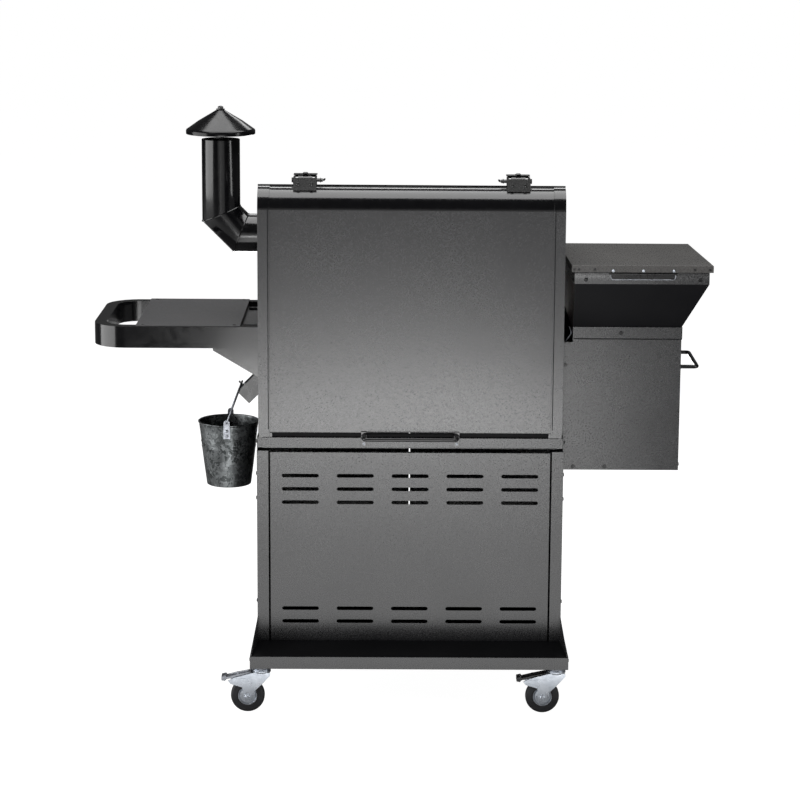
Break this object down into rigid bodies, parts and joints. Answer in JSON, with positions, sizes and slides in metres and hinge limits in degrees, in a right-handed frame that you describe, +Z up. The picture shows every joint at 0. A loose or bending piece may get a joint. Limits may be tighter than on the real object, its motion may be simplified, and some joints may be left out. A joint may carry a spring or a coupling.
{
  "type": "pellet smoker grill",
  "caption": "Wheeled pellet smoker grill with a lidded barrel chamber, side hopper, chimney, side shelf, grease bucket and a two-door cabinet.",
  "frame": {"origin": "centre of the footprint, on the floor", "axes": "+Z up, +Y towards the user in front of the grill, +X towards the pellet hopper"},
  "size_m": [1.428, 0.71, 1.358],
  "materials": {
    "powder_coat": "textured black powder coat",
    "gloss_enamel": "gloss black enamel",
    "zinc_plate": "bright zinc plate",
    "galvanised": "galvanised with spangle",
    "tyre": "black moulded rubber",
    "black_plastic": "moulded black plastic",
    "raw_steel": "bare mild steel",
    "black_iron": "blackened iron"
  },
  "bodies": {
    "grill": {"chamber_shell": "powder_coat", "chamber_end_left": "powder_coat", "chamber_end_right": "powder_coat", "shelf_plate": "powder_coat", "drain_chute": "powder_coat", "base_tray": "powder_coat", "cabinet_side_left": "powder_coat", "cabinet_side_right": "powder_coat", "cabinet_rear_panel": "powder_coat", "rear_pull_handle": "powder_coat", "hopper_bin": "powder_coat", "hopper_box": "powder_coat", "chimney_pipe": "gloss_enamel", "shelf_frame": "gloss_enamel", "rear_cross_rail": "gloss_enamel", "front_cross_rail": "gloss_enamel", "hopper_side_handle": "gloss_enamel", "upper_rack": "zinc_plate", "igniter_rod": "zinc_plate", "temperature_probe": "zinc_plate", "hopper_lid_hinge": "zinc_plate", "hopper_guard_grille": "zinc_plate", "caster_stem_rear_left": "zinc_plate", "caster_stem_rear_right": "zinc_plate", "caster_stem_front_left": "zinc_plate", "caster_stem_front_right": "zinc_plate", "fan_frame": "black_plastic", "control_panel": "black_plastic", "power_inlet": "black_plastic", "grease_tray": "raw_steel", "heat_baffle": "raw_steel", "fire_pot": "raw_steel", "lid_hinge_left": "black_iron", "lid_hinge_right": "black_iron", "cooking_grate": "black_iron", "auger_motor": "black_iron"},
    "lid": {"lid_shell": "gloss_enamel", "lid_handle": "zinc_plate"},
    "hopper_lid": {"hopper_lid": "gloss_enamel"},
    "door_left": {"cabinet_door_left": "powder_coat", "door_handle_left": "zinc_plate"},
    "door_right": {"cabinet_door_right": "powder_coat", "door_handle_right": "zinc_plate"},
    "bail": {"bucket_bail": "zinc_plate"},
    "bucket": {"grease_bucket": "galvanised"},
    "chimney_cap": {"chimney_cap": "gloss_enamel"},
    "knob": {"control_knob": "black_plastic"},
    "button": {"power_button": "black_plastic"},
    "auger": {"auger_screw": "raw_steel"},
    "fan": {"fan_impeller": "black_plastic"},
    "fork_rear_left": {"caster_fork_rear_left": "zinc_plate"},
    "wheel_rear_left": {"caster_wheel_rear_left": "tyre"},
    "brake_rear_left": {"brake_pedal_rear_left": "zinc_plate"},
    "fork_rear_right": {"caster_fork_rear_right": "zinc_plate"},
    "wheel_rear_right": {"caster_wheel_rear_right": "tyre"},
    "brake_rear_right": {"brake_pedal_rear_right": "zinc_plate"},
    "fork_front_left": {"caster_fork_front_left": "zinc_plate"},
    "wheel_front_left": {"caster_wheel_front_left": "tyre"},
    "fork_front_right": {"caster_fork_front_right": "zinc_plate"},
    "wheel_front_right": {"caster_wheel_front_right": "tyre"}
  },
  "joints": [
    {"name": "lid_hinge", "type": "hinge", "parent": "grill", "child": "lid", "pos_m": [0.026, -0.165, 1.209], "axis": [1, 0, 0], "range_deg": [0, 80]},
    {"name": "hopper_lid_hinge", "type": "hinge", "parent": "grill", "child": "hopper_lid", "pos_m": [0.554, -0.2233, 1.0065], "axis": [1, 0, 0], "range_deg": [0, 95]},
    {"name": "door_left_hinge", "type": "hinge", "parent": "grill", "child": "door_left", "pos_m": [-0.298, 0.2925, 0.363], "axis": [0, 0, 1], "range_deg": [0, 105]},
    {"name": "door_right_hinge", "type": "hinge", "parent": "grill", "child": "door_right", "pos_m": [0.35, 0.2925, 0.363], "axis": [0, 0, -1], "range_deg": [0, 105]},
    {"name": "bail_swing", "type": "hinge", "parent": "grill", "child": "bail", "pos_m": [-0.376, 0.035, 0.702], "axis": [0, 1, 0], "range_deg": [0, 40]},
    {"name": "bucket_swing", "type": "hinge", "parent": "bail", "child": "bucket", "pos_m": [-0.40903, 0.035, 0.61506], "axis": [0, 1, 0], "range_deg": [0, 25]},
    {"name": "chimney_cap_height", "type": "slide", "parent": "grill", "child": "chimney_cap", "axis": [0, 0, 1], "range_m": [0, 0.02]},
    {"name": "knob_turn", "type": "hinge", "parent": "grill", "child": "knob", "pos_m": [0.462, 0.25, 0.79], "axis": [0, -1, 0], "range_deg": [0, 300]},
    {"name": "power_button_press", "type": "slide", "parent": "grill", "child": "button", "axis": [0, -1, 0], "range_m": [0, 0.003], "stiffness_N_per_m": 300},
    {"name": "auger_spin", "type": "hinge", "parent": "grill", "child": "auger", "pos_m": [0.326, 0.035, 0.69], "axis": [1, 0, 0], "continuous": true},
    {"name": "fan_spin", "type": "hinge", "parent": "grill", "child": "fan", "pos_m": [0.516, 0.105, 0.55], "axis": [0, 0, 1], "continuous": true},
    {"name": "swivel_rear_left", "type": "hinge", "parent": "grill", "child": "fork_rear_left", "pos_m": [-0.313, -0.332, 0.1], "axis": [0, 0, 1], "continuous": true},
    {"name": "wheel_spin_rear_left", "type": "hinge", "parent": "fork_rear_left", "child": "wheel_rear_left", "pos_m": [-0.345, -0.332, 0.039], "axis": [0, 1, 0], "continuous": true},
    {"name": "brake_rear_left", "type": "hinge", "parent": "fork_rear_left", "child": "brake_rear_left", "pos_m": [-0.339, -0.332, 0.093], "axis": [0, -1, 0], "range_deg": [0, 8], "stiffness_Nm_per_rad": 0.5},
    {"name": "swivel_rear_right", "type": "hinge", "parent": "grill", "child": "fork_rear_right", "pos_m": [0.365, -0.332, 0.1], "axis": [0, 0, 1], "continuous": true},
    {"name": "wheel_spin_rear_right", "type": "hinge", "parent": "fork_rear_right", "child": "wheel_rear_right", "pos_m": [0.333, -0.332, 0.039], "axis": [0, 1, 0], "continuous": true},
    {"name": "brake_rear_right", "type": "hinge", "parent": "fork_rear_right", "child": "brake_rear_right", "pos_m": [0.339, -0.332, 0.093], "axis": [0, -1, 0], "range_deg": [0, 8], "stiffness_Nm_per_rad": 0.5},
    {"name": "swivel_front_left", "type": "hinge", "parent": "grill", "child": "fork_front_left", "pos_m": [-0.313, 0.332, 0.1], "axis": [0, 0, 1], "continuous": true},
    {"name": "wheel_spin_front_left", "type": "hinge", "parent": "fork_front_left", "child": "wheel_front_left", "pos_m": [-0.281, 0.332, 0.039], "axis": [0, 1, 0], "continuous": true},
    {"name": "swivel_front_right", "type": "hinge", "parent": "grill", "child": "fork_front_right", "pos_m": [0.365, 0.332, 0.1], "axis": [0, 0, 1], "continuous": true},
    {"name": "wheel_spin_front_right", "type": "hinge", "parent": "fork_front_right", "child": "wheel_front_right", "pos_m": [0.333, 0.332, 0.039], "axis": [0, 1, 0], "continuous": true}
  ]
}
